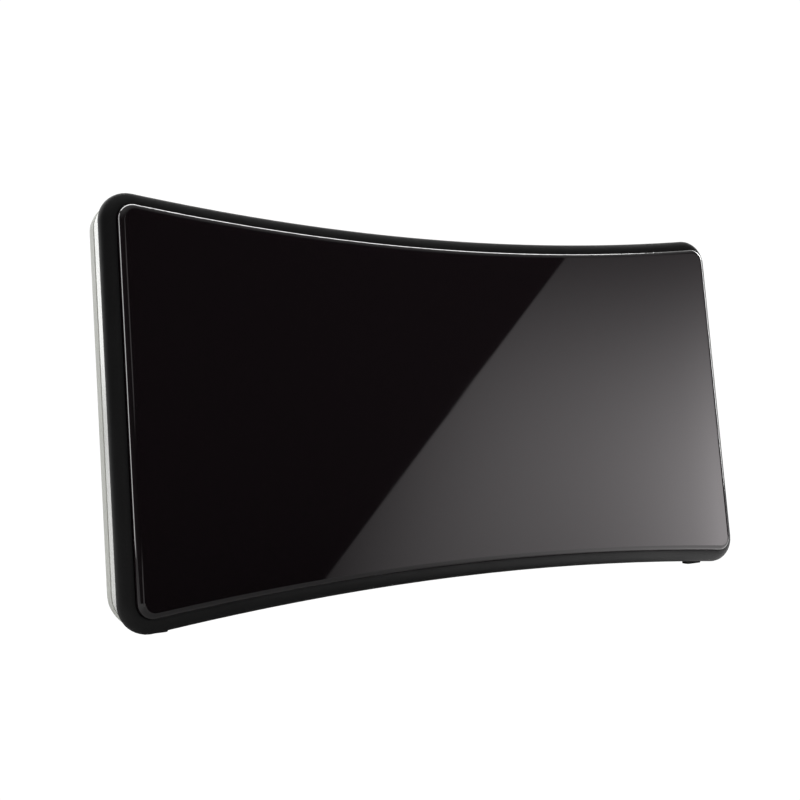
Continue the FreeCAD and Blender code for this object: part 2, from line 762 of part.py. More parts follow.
def build_stand_leg():
    """Leg with a tongue for the pod's slot, a bent neck and a blade that widens to its toe."""
    body = new_body("stand_leg")
    side = body_sketch(body, "leg_profile", "YZ_Plane")
    (front_bend, front_end), (rear_bend, rear_end) = leg_side(-1), leg_side(1)
    top = "tongue_long - pod_drop"
    polygon(side, [
        (f"{SLOT_Y} - leg_thick / 2", top),
        front_bend,
        front_end,
        rear_end,
        rear_bend,
        (f"{SLOT_Y} + leg_thick / 2", top),
    ])
    pad(body, side, "toe_width", symmetric=True)
    for name, bend, radius in (
        ("leg_bend_front", front_bend, "leg_bend + leg_thick / 2"),
        ("leg_bend_rear", rear_bend, "leg_bend - leg_thick / 2"),
    ):
        y, z = value(bend[0]), value(bend[1])
        soften(body, name, radius, every_point(lambda p, y=y, z=z: math.hypot(p.y - y, p.z - z) < TOUCH))
    flare = body_sketch(body, "leg_flare", "XZ_Plane")
    spare = "toe_width / 2 + leg_thick"
    for hand in (1, -1):
        polygon(flare, [(f"{hand} * ({x})", z) for x, z in (
            ("tongue_width / 2", f"{top} + leg_thick"),
            ("tongue_width / 2", "-pod_drop"),
            ("neck_width / 2", "-pod_drop"),
            ("neck_width / 2", "-pod_drop - leg_neck"),
            ("toe_width / 2", f"{front_end[1]} + toe_flat"),
            (spare, f"{front_end[1]} + toe_flat"),
            (spare, f"{top} + leg_thick"),
        )])
    pocket(body, flare, f"4 * {REACH}", symmetric=True)
    below = every_point(lambda p, neck=value("-pod_drop") + TOUCH: p.z < neck)
    soften(body, "leg_edges", "leg_round", lambda edge: below(edge) and abs(direction(edge).z) > STEEP)
    finish(body, "stand_leg")
    body = new_body("stand_pad")
    side = body_sketch(body, "pad_profile", "YZ_Plane")
    down, back = "pad_thick * cos(lean_angle)", "pad_thick * sin(lean_angle)"
    ground = [(f"{y} + {back}", f"{z} - {down}") for y, z in (rear_end, front_end)]
    polygon(side, [front_end, rear_end, *ground])
    pad(body, side, "toe_width - 2 * pad_inset", symmetric=True)
    finish(body, "stand_pad")


# Aerial elements and board

def build_elements():
    """Dipole halves: thin bowed sheets that widen from the feed, with a window and screw holes."""
    plan = flat_sketch("element_plan", TO_FRONT)
    polygon(plan, [
        ("element_near", "-element_feed"),
        ("element_taper", f"-{ELEMENT_TALL}"),
        (ELEMENT_FAR, f"-{ELEMENT_TALL}"),
        (ELEMENT_FAR, ELEMENT_TALL),
        ("element_taper", ELEMENT_TALL),
        ("element_near", "element_feed"),
    ])
    window_far, window_high = f"{ELEMENT_FAR} - window_end", f"{ELEMENT_TALL} - window_edge"
    for z in (1, -1):
        polygon(plan, [(x, f"{z} * ({y})") for x, y in (
            ("window_near", "window_low"),
            (window_far, "window_low"),
            (window_far, window_high),
            ("window_near", window_high),
        )])
    for x in ("pillar_near_x", PILLAR_FAR):
        circle(plan, x, "0", "element_shank_radius + shank_gap")
    sheet = bow_layer("element", "element_depth", "element_depth + element_thick")
    right = common("element_right", prism("element_prism", plan, BACKWARD, REACH, REACH), sheet)
    mirrored(finish(right, "element_right"), "element_left")


def build_straps():
    """Bent straps from the inner ends of the elements to the board."""
    body = new_body("feed_strap_right")
    side = body_sketch(body, "strap_side", "YZ_Plane", "strap_x - strap_width / 2")
    near = "element_depth + element_thick + strap_gap"
    far = "board_front - strap_gap"
    polygon(side, [
        (near, "strap_z - strap_tab"),
        (f"{near} + strap_thick", "strap_z - strap_tab"),
        (f"{near} + strap_thick", "strap_z"),
        (far, "strap_z"),
        (far, "strap_z + strap_tab"),
        (f"{far} - strap_thick", "strap_z + strap_tab"),
        (f"{far} - strap_thick", "strap_z + strap_thick"),
        (near, "strap_z + strap_thick"),
    ])
    pad(body, side, "strap_width")
    mirrored(finish(body, "feed_strap_right"), "feed_strap_left")


def build_board():
    """Board on the pod's posts, and the can over its amplifier."""
    body = new_body("amplifier_board")
    face = body_sketch(body, "board_face", "XZ_Plane", "-board_front")
    left, right = f"-{BOARD_HALF}", BOARD_HALF
    polygon(face, [(left, BOARD_LOW), (right, BOARD_LOW), (right, BOARD_TOP), (left, BOARD_TOP)])
    for x, z in BOARD_PLACES:
        circle(face, x, z, "board_shank_radius + shank_gap")
    pad(body, face, "board_thick", backward=True)
    finish(body, "amplifier_board")
    half, top, far = "can_width / 2", "can_low + can_tall", f"{BOARD_BACK} + can_deep"
    outside = block("can_outside", (f"-{half}", half), (BOARD_BACK, far), ("can_low", top))
    inside = block(
        "can_inside",
        (f"can_wall - {half}", f"{half} - can_wall"),
        (f"{BOARD_BACK} - can_wall", f"{far} - can_wall"),
        ("can_low + can_wall", f"{top} - can_wall"),
    )
    finish(cut("shield_can", outside, inside), "shield_can")


# Sockets

COAX_END = "(-pod_drop - washer_thick - nut_tall - coax_free)"


def build_coax():
    """Aerial socket: flanged threaded barrel, insulator, contact, washer and nut."""
    inner = "pod_wall - pod_drop"
    crown = f"{inner} + coax_flange_tall"
    step = f"{COAX_END} + insulator_set + insulator_tall"
    body = turned("coax_socket", [
        ("coax_bore", COAX_END),
        ("coax_radius - thread_gap", COAX_END),
        ("coax_radius", f"{COAX_END} + insulator_set"),
        ("coax_radius", f"{COAX_END} + coax_free - coax_relief"),
        ("coax_neck", f"{COAX_END} + coax_free - coax_relief"),
        ("coax_neck", inner),
        ("coax_flange_radius", inner),
        ("coax_flange_radius", crown),
        ("contact_radius + thread_gap", crown),
        ("contact_radius + thread_gap", step),
        ("coax_bore", step),
    ])
    finish(body, "coax_socket", SOCKET_X, SOCKET_Y)
    set_back = f"{COAX_END} + insulator_set"
    body = turned("coax_insulator", [
        ("contact_hole + thread_gap", set_back),
        ("coax_bore - fit_gap", set_back),
        ("coax_bore - fit_gap", step),
        ("contact_hole + thread_gap", step),
    ])
    finish(body, "coax_insulator", SOCKET_X, SOCKET_Y)
    body = turned("coax_contact", [
        ("contact_hole", step),
        ("contact_radius", step),
        ("contact_radius", f"{step} + contact_long"),
        ("0", f"{step} + contact_long"),
        ("0", f"{step} + contact_long / 2"),
        ("contact_hole", f"{step} + contact_long / 2"),
    ])
    finish(body, "coax_contact", SOCKET_X, SOCKET_Y)
    seat = "-pod_drop - washer_thick"
    body = turned("coax_washer", [
        ("coax_radius + coax_gap", seat),
        ("washer_radius", seat),
        ("washer_radius", "-pod_drop"),
        ("coax_radius + coax_gap", "-pod_drop"),
    ])
    finish(body, "coax_washer", SOCKET_X, SOCKET_Y)
    body = new_body("coax_nut")
    face = body_sketch(body, "nut_face", "XY_Plane", f"{seat} - nut_tall")
    reach = "nut_flats / 2 / cos(30)"
    polygon(face, [(f"{reach} * cos({turn})", f"{reach} * sin({turn})") for turn in range(0, 360, 60)])
    circle(face, "0", "0", "coax_radius + thread_gap")
    pad(body, face, "nut_tall")
    finish(body, "coax_nut", SOCKET_X, SOCKET_Y)


def build_power_inlet():
    """Power inlet: moulded block on the board with a round nose, and its centre pin."""
    low, high = "pod_wall - pod_drop", "pod_wall - pod_drop + jack_tall"
    half = "jack_width / 2"
    x = f"-{SOCKET_X}"
    across, deep = (f"{x} - {half}", f"{x} + {half}"), (BOARD_BACK, f"{SOCKET_Y} + jack_rear")
    case = block("jack_case", across, deep, (low, high))
    nose = post("jack_round", "jack_nose", x, SOCKET_Y, "-pod_drop", f"{low} + pod_wall")
    floor = "jack_bore_deep - pod_drop"
    root = f"{floor} + power_pin_root"
    bore = post("jack_mouth", "jack_bore", x, SOCKET_Y, "-pod_drop - pod_wall", floor)
    seat = post("jack_pin_seat", "power_pin_collar + fit_gap", x, SOCKET_Y, "-pod_drop", root)
    solid = fuse("jack_solid", [case, nose])
    finish(cut("power_socket", solid, fuse("jack_space", [bore, seat])), "power_socket")
    tip = "power_pin_set - pod_drop"
    body = turned("power_pin", [
        ("0", tip),
        ("power_pin_radius / 2", tip),
        ("power_pin_radius", f"{tip} + power_pin_radius / 2"),
        ("power_pin_radius", f"{floor} - power_pin_collar_tall"),
        ("power_pin_collar", f"{floor} - power_pin_collar_tall"),
        ("power_pin_collar", root),
        ("0", root),
    ])
    finish(body, "power_pin", x, SOCKET_Y)


# Screws

def screw(name, kind, turn, x, y, z):
    """A pan-head screw with a cross recess, seated at a place and turned to point its head."""
    head, tall = f"{kind}_head_radius", f"{kind}_head_tall"
    shank, long = f"{kind}_shank_radius", f"{kind}_shank_long"
    body = turned(name, [
        ("0", f"-{long}"),
        (f"{shank} / 2", f"-{long}"),
        (shank, f"{shank} - {long}"),
        (shank, "0"),
        (head, "0"),
        (head, f"{tall} / 2"),
        (f"{head} * head_crown", tall),
        ("0", tall),
    ])
    cross = body_sketch(body, f"{name}_cross", "XY_Plane", tall)
    arm, half = f"{head} * cross_long", f"{head} * cross_half"
    points = [(arm, half), (half, half), (half, arm)]
    for quarter in range(3):
        points += [(f"-({y_})", x_) for x_, y_ in points[-3:]]
    polygon(cross, points)
    pocket(body, cross, f"{tall} * cross_deep")
    body.Placement = Placement(Vector(), turn)
    bind(body, {"Placement.Base.x": x, "Placement.Base.y": y, "Placement.Base.z": z})
    return body


def screw_group(label, kind, turn, places):
    """Like screws as one group of separate solids."""
    group = doc.addObject("Part::Compound", label)
    group.Links = [screw(f"{kind}_screw_{step}", kind, turn, *place) for step, place in enumerate(places)]
    finish(group, label)


def build_screws():
    """Screws of the housing, the elements and the board."""
    seat = f"{COVER_BACK} - seat_depth"
    in_towers = [(x, f"{seat} - {bow_at(x)}", z) for x, z in HOUSING_PLACES]
    screw_group("housing_screws", "housing", TO_BACK, in_towers)
    rear = "element_depth + element_thick"
    on_sheet = [(x, surface_at(rear, f"abs({x}) - element_head_radius"), z) for x, z in PILLAR_PLACES]
    screw_group("element_screws", "element", TO_BACK, on_sheet)
    screw_group("board_screws", "board", TO_FRONT, [(x, "board_front", z) for x, z in BOARD_PLACES])


# The whole antenna

def centre_on_origin():
    """Moves the antenna along y until its origin is under the middle of its box."""
    doc.recompute()
    box = FreeCAD.BoundBox()
    for item in parts:
        box.add(item.Shape.optimalBoundingBox())
    dims.set(dims.getCellFromAlias(ORIGIN_CELL), str(-box.Center.y))
    doc.recompute()


def check():
    """Stops if an object failed or a sub-part is not a valid solid."""
    for item in doc.Objects:
        if {"Invalid", "Error"} & set(item.State):
            raise RuntimeError(f"{item.Label} failed: {item.State}")
    for item in parts:
        if item.Shape.isNull() or not item.Shape.isValid() or not item.Shape.Solids:
            raise RuntimeError(f"{item.Label} is not a valid solid")


def write():
    """Writes each sub-part to its own file."""
    os.makedirs("parts", exist_ok=True)
    for item in parts:
        item.Shape.exportStep(f"parts/{item.Label}.step")


build_front_plate()
build_front_frame()
build_trim_band()
build_rear_cover()
build_feet()
build_stand_leg()
build_elements()
build_straps()
build_board()
build_coax()
build_power_inlet()
build_screws()
centre_on_origin()
check()
write()
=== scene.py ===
"""Looks of an indoor television antenna.

It makes the finishes of the slots, the finer forms that stand for five of the solids (a socket's thread,
rounder corners behind the frame, and soles along the lower edge), and the studio and camera of the photograph.
"""

import json
import logging
import math
from dataclasses import dataclass, field
from enum import Enum
from typing import Any, Optional, Union

import bmesh
import bpy
from mathutils import Matrix, Vector
from mathutils.bvhtree import BVHTree

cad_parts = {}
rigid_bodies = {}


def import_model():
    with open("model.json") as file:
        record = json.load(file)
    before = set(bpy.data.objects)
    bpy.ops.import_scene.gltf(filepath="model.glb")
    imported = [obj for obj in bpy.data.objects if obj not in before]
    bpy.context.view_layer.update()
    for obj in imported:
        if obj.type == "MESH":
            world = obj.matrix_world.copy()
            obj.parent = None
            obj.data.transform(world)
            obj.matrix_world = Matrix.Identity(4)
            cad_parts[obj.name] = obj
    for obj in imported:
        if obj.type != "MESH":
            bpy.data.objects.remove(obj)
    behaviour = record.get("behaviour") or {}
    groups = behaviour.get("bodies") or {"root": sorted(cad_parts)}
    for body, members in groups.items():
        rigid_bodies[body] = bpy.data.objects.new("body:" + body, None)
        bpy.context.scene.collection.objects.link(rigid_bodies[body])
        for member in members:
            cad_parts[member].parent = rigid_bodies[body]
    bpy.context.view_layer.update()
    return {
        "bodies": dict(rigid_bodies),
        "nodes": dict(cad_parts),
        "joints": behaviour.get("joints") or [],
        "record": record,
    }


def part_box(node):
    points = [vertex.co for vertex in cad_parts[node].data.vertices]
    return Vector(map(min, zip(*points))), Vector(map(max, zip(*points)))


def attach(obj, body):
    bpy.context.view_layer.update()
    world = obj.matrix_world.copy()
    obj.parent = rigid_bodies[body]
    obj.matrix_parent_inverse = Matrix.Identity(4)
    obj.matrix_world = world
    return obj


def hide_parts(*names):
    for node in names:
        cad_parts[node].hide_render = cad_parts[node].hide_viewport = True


LOG = logging.getLogger("antenna")

Number = Union[int, float]
Pair = tuple[float, float]
Triple = tuple[float, float, float]
Colour = tuple[float, float, float]

INCH = 0.0254
MM_PER_M = 1000.0
DECIMETRES: Triple = (10.0, 10.0, 10.0)
WHITE: Colour = (1.0, 1.0, 1.0)


class Op(Enum):
    """Operations of a Math node."""

    ADD = "ADD"
    SUBTRACT = "SUBTRACT"
    MULTIPLY = "MULTIPLY"
    EXPONENT = "EXPONENT"
    MINIMUM = "MINIMUM"
    MAXIMUM = "MAXIMUM"


class Mixing(Enum):
    """Ways in which a Mix node brings two colours together."""

    MIX = "MIX"
    MULTIPLY = "MULTIPLY"


class Cell(Enum):
    """Shapes of the cells around scattered points."""

    ROUND = "EUCLIDEAN"
    SQUARE = "CHEBYCHEV"


class Kind(Enum):
    """Node types that the finishes and the studio use."""

    MATH = "ShaderNodeMath"
    MIX = "ShaderNodeMix"
    RANGE = "ShaderNodeMapRange"
    NOISE = "ShaderNodeTexNoise"
    VORONOI = "ShaderNodeTexVoronoi"
    COORD = "ShaderNodeTexCoord"
    MAPPING = "ShaderNodeMapping"
    SPLIT = "ShaderNodeSeparateXYZ"
    BUMP = "ShaderNodeBump"
    PRINCIPLED = "ShaderNodeBsdfPrincipled"
    EMISSION = "ShaderNodeEmission"
    DIFFUSE = "ShaderNodeBsdfDiffuse"
    MIX_SHADER = "ShaderNodeMixShader"
    ADD_SHADER = "ShaderNodeAddShader"
    LIGHT_PATH = "ShaderNodeLightPath"
    OUTPUT = "ShaderNodeOutputMaterial"
    BACKGROUND = "ShaderNodeBackground"
    WORLD_OUTPUT = "ShaderNodeOutputWorld"


class Bench:
    """A node tree under construction."""

    def __init__(self, tree: bpy.types.NodeTree) -> None:
        """Takes a tree and empties it."""
        self.tree = tree
        tree.nodes.clear()

    @classmethod
    def material(cls, name: str) -> tuple[bpy.types.Material, "Bench"]:
        """Starts a material.

        Args:
            name: the material's name.

        Returns:
            The material and its nodes.
        """
        made = bpy.data.materials.new(name)
        made.use_nodes = True
        return made, cls(made.node_tree)

    def node(self, kind: Kind, settings: Optional[dict[str, Any]] = None, **sockets: Any) -> bpy.types.Node:
        """Adds a node.

        Args:
            kind: the node's type.
            settings: properties to set before the sockets.
            sockets: values or links by socket name, with underscores for spaces.

        Returns:
            The new node.
        """
        made = self.tree.nodes.new(kind.value)
        for name, setting in (settings or {}).items():
            setattr(made, name, setting)
        self.wire(made, **sockets)
        return made

    def wire(self, node: bpy.types.Node, **sockets: Any) -> None:
        """Sets or links input sockets by name, with underscores for spaces."""
        for name, given in sockets.items():
            self.feed(self.entry(node, name), given)

    def entry(self, node: bpy.types.Node, name: str) -> bpy.types.NodeSocket:
        """Finds an enabled input socket.

        Args:
            node: the node to look in.
            name: the socket's name with underscores for spaces, or in_ and its place.

        Returns:
            The input socket.
        """
        if name.startswith("in_"):
            return node.inputs[int(name[3:])]
        wanted = name.replace("_", " ").lower()
        return next(s for s in node.inputs if s.enabled and s.name.lower() == wanted)

    def feed(self, socket: bpy.types.NodeSocket, given: Any) -> None:
        """Sets or links an input socket.

        Args:
            socket: the input.
            given: a number, a colour, a vector, a Value or an output socket.
        """
        if isinstance(given, Value):
            self.tree.links.new(given.socket, socket)
        elif isinstance(given, bpy.types.NodeSocket):
            self.tree.links.new(given, socket)
        elif socket.type == "RGBA" and len(given) == 3:
            socket.default_value = (*given, 1.0)
        else:
            socket.default_value = given

    def value(self, node: bpy.types.Node, output: Union[str, int] = 0) -> "Value":
        """Wraps a node's output, by name or place, for use in expressions."""
        return Value(self, node.outputs[output])

    def place(self, scale: Triple = (1.0, 1.0, 1.0)) -> bpy.types.NodeSocket:
        """Gives the object's own coordinates, in metres, times a scale along each axis."""
        coordinates = self.node(Kind.COORD).outputs["Object"]
        return self.node(Kind.MAPPING, Vector=coordinates, Scale=scale).outputs["Vector"]

    def noise(self, grain: float, octaves: float, stretch: Triple = (1.0, 1.0, 1.0)) -> "Value":
        """Gives noise between about 0 and 1, with features of a grain in metres, octaves and a stretch."""
        made = self.node(Kind.NOISE, Vector=self.place(stretch), Scale=1.0 / grain, Detail=octaves)
        return self.value(made)

    def cells(self, size: float, shape: Cell) -> "Value":
        """Gives the distance to the nearest of scattered points, in cells of a size in metres."""
        made = self.node(Kind.VORONOI, {"distance": shape.value}, Vector=self.place(), Scale=1.0 / size)
        return self.value(made, "Distance")

    def ramp(self, given: "Value", span: Pair, result: Pair = (0.0, 1.0)) -> "Value":
        """Maps a span to another, with smooth ends and no overshoot.

        Args:
            given: the value to map.
            span: where the change starts and where it ends.
            result: what comes out there.

        Returns:
            The mapped value.
        """
        return self.value(self.node(
            Kind.RANGE,
            {"interpolation_type": "SMOOTHSTEP", "clamp": True},
            Value=given, From_Min=span[0], From_Max=span[1], To_Min=result[0], To_Max=result[1],
        ))

    def blend(
        self, share: Union["Value", float], first: Any, second: Colour, mixing: Mixing = Mixing.MIX
    ) -> bpy.types.NodeSocket:
        """Brings two colours together.

        Args:
            share: how much of the second colour.
            first: colour, or a Value as a grey, at 0.
            second: colour at 1.
            mixing: how they meet.

        Returns:
            The resulting colour's socket.
        """
        settings = {"data_type": "RGBA", "blend_type": mixing.value}
        made = self.node(Kind.MIX, settings, Factor=share, A=first, B=second)
        return next(s for s in made.outputs if s.enabled)

    def bump(self, height: "Value", depth: float) -> bpy.types.NodeSocket:
        """Turns a height between 0 and 1, with a depth in metres, into a normal."""
        return self.node(Kind.BUMP, Strength=1.0, Distance=depth, Height=height).outputs["Normal"]


class Value:
    """A socket that takes part in Python expressions."""

    def __init__(self, bench: Bench, socket: bpy.types.NodeSocket) -> None:
        """Wraps an output socket and keeps where its nodes are made."""
        self.bench = bench
        self.socket = socket

    def math(self, op: Op, *given: Union["Value", Number]) -> "Value":
        """Adds a Math node with its operands in order."""
        inputs = {f"in_{place}": operand for place, operand in enumerate(given)}
        return self.bench.value(self.bench.node(Kind.MATH, {"operation": op.value}, **inputs))

    def __add__(self, other: Union["Value", Number]) -> "Value":
        """Adds."""
        return self.math(Op.ADD, self, other)

    __radd__ = __add__

    def __sub__(self, other: Union["Value", Number]) -> "Value":
        """Subtracts."""
        return self.math(Op.SUBTRACT, self, other)

    def __rsub__(self, other: Number) -> "Value":
        """Subtracts from a number."""
        return self.math(Op.SUBTRACT, other, self)

    def __mul__(self, other: Union["Value", Number]) -> "Value":
        """Multiplies."""
        return self.math(Op.MULTIPLY, self, other)

    __rmul__ = __mul__

    def least(self, other: Union["Value", Number]) -> "Value":
        """Gives the smaller of this and another value."""
        return self.math(Op.MINIMUM, self, other)

    def most(self, other: Union["Value", Number]) -> "Value":
        """Gives the larger of this and another value."""
        return self.math(Op.MAXIMUM, self, other)

    def exp(self) -> "Value":
        """Gives e to this power."""
        return self.math(Op.EXPONENT, self)


@dataclass(frozen=True)
class Finish:
    """A finish of the antenna: a material that follows a slot of the record."""

    slot: str
    colour: Colour
    roughness: float
    metallic: float = 0.0
    specular: float = 0.5

    def material(self) -> bpy.types.Material:
        """Makes the finish's material.

        Returns:
            The material, with its shader and surface detail.
        """
        made, bench = Bench.material(self.slot)
        shader = bench.node(
            Kind.PRINCIPLED,
            Base_Color=self.colour,
            Roughness=self.roughness,
            Metallic=self.metallic,
            Specular_IOR_Level=self.specular,
        )
        self.detail(bench, shader)
        bench.node(Kind.OUTPUT, Surface=shader.outputs[0])
        return made

    def detail(self, bench: Bench, shader: bpy.types.Node) -> None:
        """Adds what varies over the surface to the main shader."""
        raise NotImplementedError

    def shade(self, gain: float, lift: float = 0.0) -> Colour:
        """Gives the finish's colour times a gain and plus a lift, at most white."""
        return tuple(min(1.0, gain * part + lift) for part in self.colour)

    def dulled(self, low: float, high: float) -> Pair:
        """Gives the finish's roughness times two factors."""
        return low * self.roughness, high * self.roughness


@dataclass(frozen=True)
class GlossMoulding(Finish):
    """Polished moulded plastic with faint wipe marks and the least ripple of a moulded face."""

    wipe_size: float = 0.035
    wipe_octaves: float = 4.0
    wipe_stretch: Triple = (1.0, 1.0, 2.5)
    wipe_span: Pair = (0.35, 0.75)
    wipe_dulling: Pair = (1.0, 1.5)
    dust_size: float = 0.0012
    dust_span: Pair = (0.72, 0.86)
    dust_share: float = 0.4
    dust_gain: float = 4.0
    dust_lift: float = 0.004
    ripple_size: float = 0.05
    ripple_depth: float = 2.0e-6

    def detail(self, bench: Bench, shader: bpy.types.Node) -> None:
        """Adds wipe marks to the gloss, dust to the colour and a slow ripple to the face.

        Args:
            bench: the material's nodes.
            shader: its main shader.
        """
        wipe = bench.noise(self.wipe_size, self.wipe_octaves, self.wipe_stretch)
        dust = bench.ramp(bench.noise(self.dust_size, octaves=1.0), self.dust_span)
        ripple = bench.noise(self.ripple_size, octaves=1.0)
        dusty = self.shade(self.dust_gain, self.dust_lift)
        bench.wire(
            shader,
            Base_Color=bench.blend(dust * self.dust_share, self.colour, dusty),
            Roughness=bench.ramp(wipe, self.wipe_span, self.dulled(*self.wipe_dulling)),
            Normal=bench.bump(ripple, self.ripple_depth),
        )


@dataclass(frozen=True)
class GrainedMoulding(Finish):
    """Moulded plastic with a spark-eroded grain."""

    grain: float = 0.0004
    depth: float = 1.2e-5
    fleck: float = 0.5
    dark_fleck: float = 0.6
    fleck_span: Pair = (0.35, 0.65)
    wear_grains: float = 60.0
    wear_share: float = 0.2
    wear_span: Pair = (0.3, 0.7)
    wear_dulling: Pair = (0.92, 1.08)

    def detail(self, bench: Bench, shader: bpy.types.Node) -> None:
        """Adds a fine grain to the face and flecks to its colour.

        Args:
            bench: the material's nodes.
            shader: its main shader.
        """
        grain = bench.noise(self.grain, octaves=3.0)
        wear = bench.noise(self.wear_grains * self.grain, octaves=2.0)
        flecks = bench.ramp((1.0 - self.wear_share) * grain + self.wear_share * wear, self.fleck_span)
        light, dark = self.shade(1.0 + self.fleck), self.shade(1.0 - self.dark_fleck * self.fleck)
        bench.wire(
            shader,
            Base_Color=bench.blend(flecks, dark, light),
            Roughness=bench.ramp(wear, self.wear_span, self.dulled(*self.wear_dulling)),
            Normal=bench.bump(grain, self.depth),
        )


@dataclass(frozen=True)
class FlakePaint(Finish):
    """Silver paint whose flakes carry painted glints, lighter at each flake's middle and darker at its rim."""

    flake: float = 0.00025
    flake_span: Pair = (0.1, 0.7)
    spread: float = 0.1
    peel_flakes: float = 6.0
    peel_span: Pair = (0.3, 0.7)
    peel_dulling: Pair = (0.9, 1.1)
    depth: float = 4.0e-6

    def detail(self, bench: Bench, shader: bpy.types.Node) -> None:
        """Adds flakes to the colour as painted glints, lighter at each flake's middle and darker at its rim,
        and a fine orange peel to the face.

        Args:
            bench: the material's nodes.
            shader: its main shader.
        """
        # painted glints: the base colour is lighter at each flake's middle and darker at its rim
        flakes = bench.ramp(bench.cells(self.flake, Cell.ROUND), self.flake_span)
        peel = bench.noise(self.peel_flakes * self.flake, octaves=2.0)
        light, dark = self.shade(1.0 + self.spread), self.shade(1.0 - self.spread)
        bench.wire(
            shader,
            Base_Color=bench.blend(flakes, light, dark),
            Roughness=bench.ramp(peel, self.peel_span, self.dulled(*self.peel_dulling)),
            Normal=bench.bump(peel, self.depth),
        )


@dataclass(frozen=True)
class DrawnMetal(Finish):
    """Rolled, turned or plated metal with fine lines along one axis."""

    line: float = 0.0002
    along: Triple = (0.05, 1.0, 1.0)
    line_span: Pair = (0.3, 0.7)
    line_dulling: Pair = (0.8, 1.3)
    depth: float = 3.0e-6
    stain_size: float = 0.006
    stain_span: Pair = (0.45, 0.75)
    stain_shade: float = 0.72

    def detail(self, bench: Bench, shader: bpy.types.Node) -> None:
        """Adds drawn lines and slow stains.

        Args:
            bench: the material's nodes.
            shader: its main shader.
        """
        lines = bench.noise(self.line, octaves=3.0, stretch=self.along)
        stains = bench.ramp(bench.noise(self.stain_size, octaves=3.0), self.stain_span)
        bench.wire(
            shader,
            Base_Color=bench.blend(stains, self.colour, self.shade(self.stain_shade)),
            Roughness=bench.ramp(lines, self.line_span, self.dulled(*self.line_dulling)),
            Normal=bench.bump(lines, self.depth),
        )


@dataclass(frozen=True)
class SolderMask(Finish):
    """Lacquered circuit board with tracks under the mask."""

    track: float = 0.0022
    track_span: Pair = (0.42, 0.5)
    track_gain: float = 1.9
    track_lift: float = 0.01
    mask_span: Pair = (0.4, 0.6)
    mask_dulling: Pair = (1.0, 1.3)
    depth: float = 3.5e-5

    def detail(self, bench: Bench, shader: bpy.types.Node) -> None:
        """Adds tracks, as stepped cells, to the colour and the face.

        Args:
            bench: the material's nodes.
            shader: its main shader.
        """
        cells = bench.cells(self.track, Cell.SQUARE)
        tracks = bench.ramp(cells, self.track_span)
        bench.wire(
            shader,
            Base_Color=bench.blend(tracks, self.colour, self.shade(self.track_gain, self.track_lift)),
            Roughness=bench.ramp(cells, self.mask_span, self.dulled(*self.mask_dulling)),
            Normal=bench.bump(tracks, self.depth),
        )


FINISHES: tuple[Finish, ...] = (
    GlossMoulding("plate_gloss", (0.0048, 0.0030, 0.0038), 0.016),
    GrainedMoulding("frame_matte", (0.0035, 0.0034, 0.0036), 0.5, specular=0.25),
    FlakePaint("trim_silver", (0.95, 0.96, 0.92), 0.24, metallic=0.35),
    GrainedMoulding("cover_silver", (0.70, 0.71, 0.66), 0.5, metallic=0.1, depth=6.0e-6, fleck=0.08),
    GrainedMoulding("foot_rubber", (0.010, 0.010, 0.010), 0.75, specular=0.25, grain=0.0003),
    DrawnMetal("element_sheet", (0.72, 0.73, 0.74), 0.32, metallic=1.0),
    DrawnMetal("tinplate", (0.60, 0.60, 0.58), 0.3, metallic=1.0, along=(1.0, 1.0, 0.08)),
    DrawnMetal("screw_steel", (0.42, 0.42, 0.43), 0.3, metallic=1.0, along=(1.0, 0.1, 1.0)),
    DrawnMetal("socket_nickel", (0.66, 0.64, 0.60), 0.2, metallic=1.0, along=(0.3, 0.3, 1.0)),
    GrainedMoulding("insulator_white", (0.70, 0.69, 0.65), 0.45, fleck=0.05, grain=0.0006),
    DrawnMetal("contact_brass", (0.68, 0.50, 0.24), 0.25, metallic=1.0, along=(0.3, 0.3, 1.0)),
    SolderMask("board_green", (0.015, 0.10, 0.04), 0.3),
    GrainedMoulding("jack_black", (0.012, 0.012, 0.012), 0.5, specular=0.35),
)


@dataclass
class Housing:
    """The nodes that the frame brings, and their finishes."""

    frame: dict[str, Any]
    materials: dict[str, bpy.types.Material] = field(default_factory=dict)

    def make_finishes(self) -> None:
        """Makes one material for each slot of the record."""
        self.materials = {finish.slot: finish.material() for finish in FINISHES}

    def dress(self) -> None:
        """Gives each node the finish of its slot."""
        for row in self.frame["record"]["subparts"]:
            node = self.frame["nodes"][row["node"]]
            node.data.materials.clear()
            node.data.materials.append(self.materials[row["material_slot"]])
            LOG.info("%s: %s", row["node"], row["material_slot"])


@dataclass
class FineForm:
    """A piece of finer form that stands for one of the solids."""

    housing: Housing
    node: str
    slot: str

    def solid(self) -> bmesh.types.BMesh:
        """Gives a copy of the solid's mesh to work on.

        Returns:
            The copy.
        """
        form = bmesh.new()
        form.from_mesh(self.housing.frame["nodes"][self.node].data)
        return form

    def stand_in(self, form: bmesh.types.BMesh, name: str) -> bpy.types.Object:
        """Puts the finished form in the solid's place.

        Args:
            form: the finished form, which is used up.
            name: the piece's name.

        Returns:
            The piece.
        """
        mesh = bpy.data.meshes.new(name)
        form.to_mesh(mesh)
        form.free()
        mesh.materials.append(self.housing.materials[self.slot])
        piece = bpy.data.objects.new(name, mesh)
        bpy.context.scene.collection.objects.link(piece)
        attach(piece, "root")
        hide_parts(self.node)
        LOG.info("%s stands for %s", name, self.node)
        return piece


